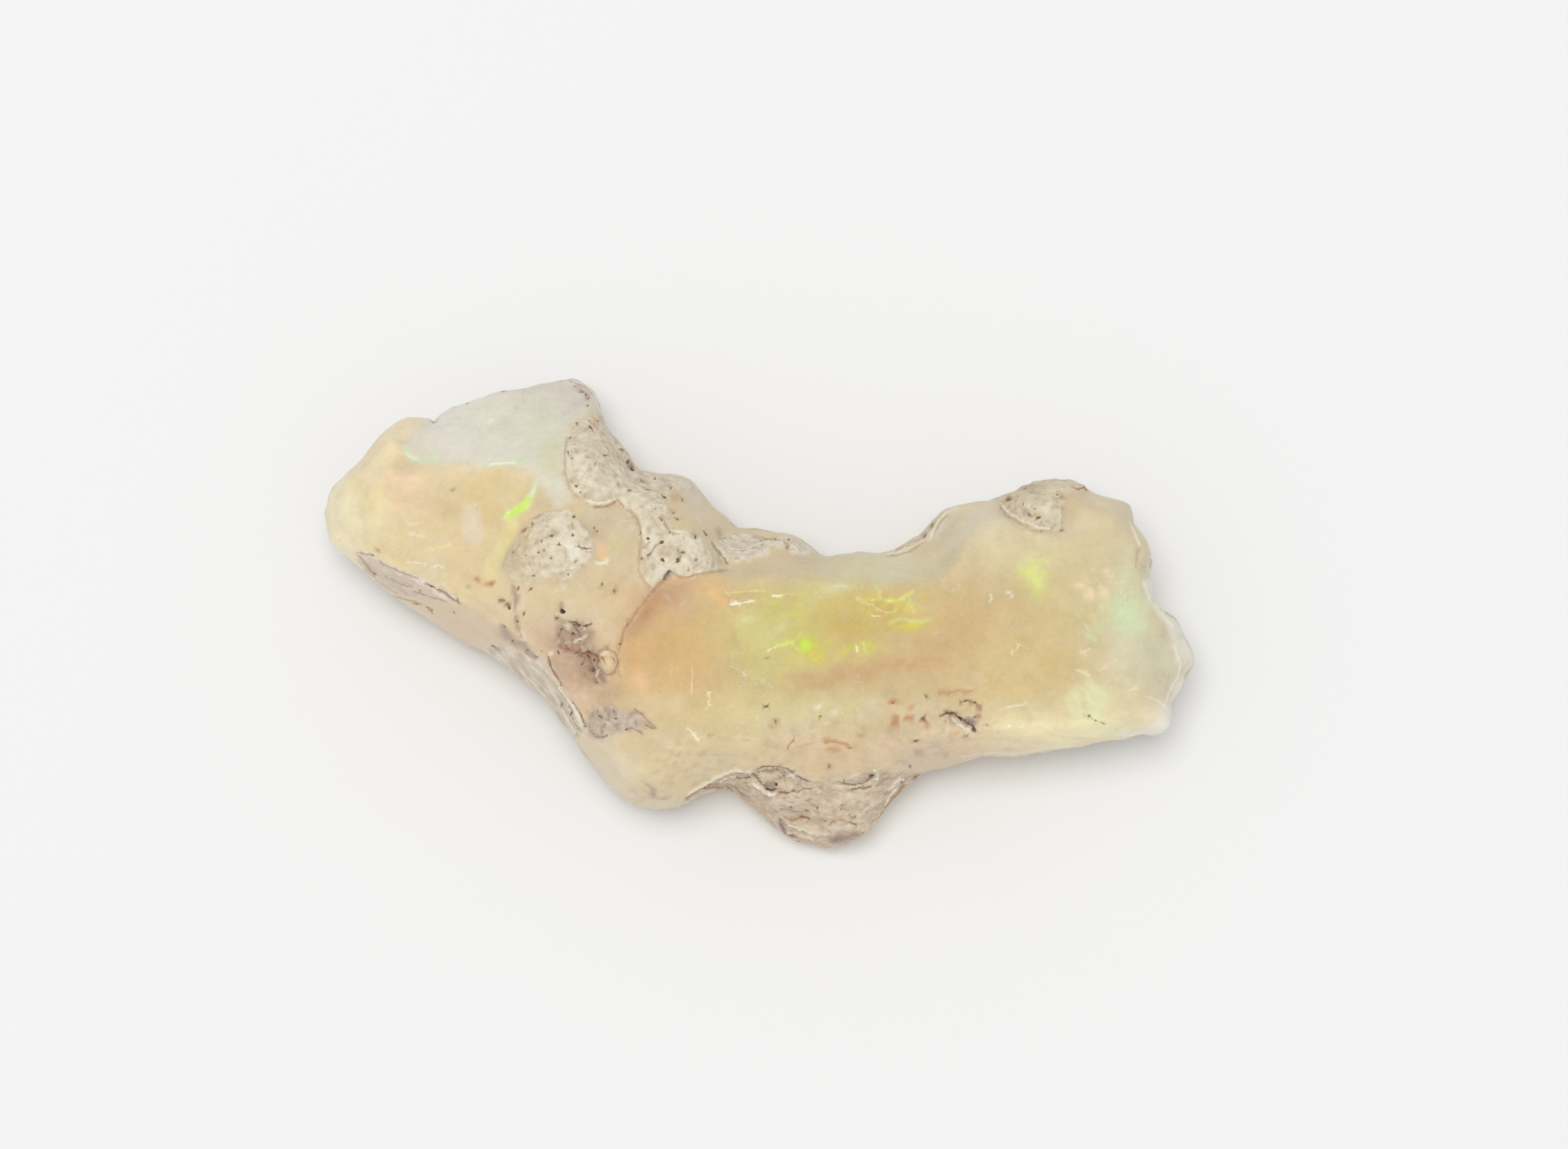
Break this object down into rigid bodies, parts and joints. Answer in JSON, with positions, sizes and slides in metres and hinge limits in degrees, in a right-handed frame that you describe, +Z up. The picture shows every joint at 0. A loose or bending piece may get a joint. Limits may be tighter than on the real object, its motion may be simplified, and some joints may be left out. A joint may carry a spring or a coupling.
{
  "type": "rough opal specimen",
  "caption": "Unworked stone of milky honey opal, a bent bar with clear windows, pale host rock and a low knob, lying on its flat underside.",
  "frame": {"origin": "under the middle of the stone's bounding box, on the plane it rests on", "axes": "+X along the stone's length towards the broad lobe, +Y towards the saddle side, +Z up, away from the resting face"},
  "size_m": [0.03, 0.0162, 0.0073],
  "materials": {
    "opal": "milky honey opal, glossy on its broken faces and dull where host rock covers it"
  },
  "bodies": {
    "root": {"opal_stone": "opal"}
  },
  "joints": []
}
